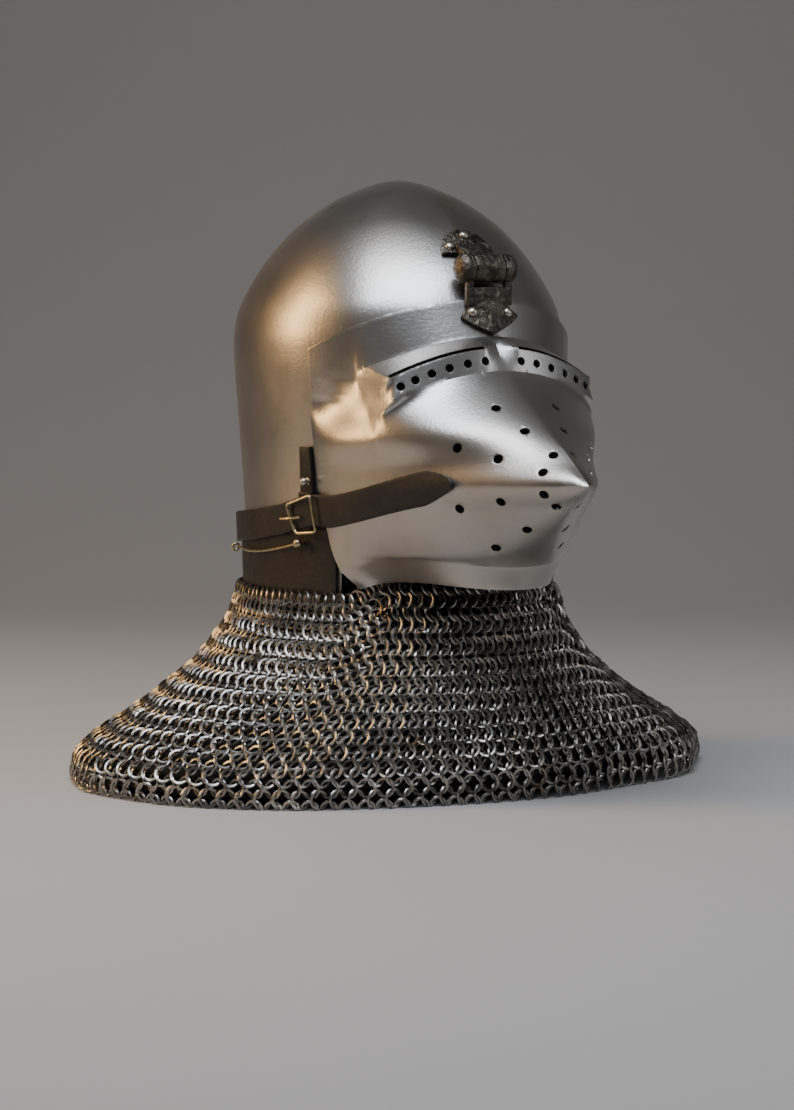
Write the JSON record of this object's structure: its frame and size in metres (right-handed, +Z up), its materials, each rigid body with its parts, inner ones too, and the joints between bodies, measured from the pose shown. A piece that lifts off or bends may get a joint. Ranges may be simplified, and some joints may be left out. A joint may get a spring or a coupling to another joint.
{
  "type": "klappvisor bascinet with mail aventail",
  "caption": "Keeled steel helmet with a pointed hinged face visor, leather band and buckled strap, and a spreading mail skirt.",
  "frame": {"origin": "where the crown of the head carries the helmet, 250 mm above the skull's rim on its middle axis", "axes": "+Z up, the face looks along -Y, the wearer's right hand is on the -X side"},
  "size_m": [0.4464, 0.4222, 0.3973],
  "materials": {
    "polished_steel": "satin, fine scratches",
    "forged_iron": "dark, pitted",
    "rivet_steel": "polished",
    "oiled_leather": "worn, dark olive brown",
    "buckle_wire": "pale, satin",
    "mail_steel": "oiled, dark grey with a few bronze tints"
  },
  "bodies": {
    "helmet": {"skull": "polished_steel", "hinge_leaf_upper": "forged_iron", "hinge_pin": "forged_iron", "leather_band": "oiled_leather", "strap_rear": "oiled_leather", "retaining_wire_right": "buckle_wire", "retaining_wire_left": "buckle_wire", "aventail": "mail_steel", "hinge_rivet_upper_1": "rivet_steel", "hinge_rivet_upper_2": "rivet_steel", "hinge_rivet_upper_3": "rivet_steel", "stud_upper_right": "rivet_steel", "stud_upper_left": "rivet_steel", "stud_lower_right": "rivet_steel", "stud_lower_left": "rivet_steel"},
    "visor": {"visor": "polished_steel", "hinge_leaf_lower": "forged_iron", "hinge_rivet_lower_1": "rivet_steel", "hinge_rivet_lower_2": "rivet_steel", "strap_front": "oiled_leather", "strap_left": "oiled_leather", "strap_rivet_left": "rivet_steel", "buckle_frame": "buckle_wire", "buckle_prong": "buckle_wire", "buckle_chape": "oiled_leather"}
  },
  "joints": [
    {"name": "visor_hinge", "type": "hinge", "parent": "helmet", "child": "visor", "pos_m": [0, -0.1225, -0.0335], "axis": [-1, 0, 0], "range_deg": [0, 100]}
  ]
}
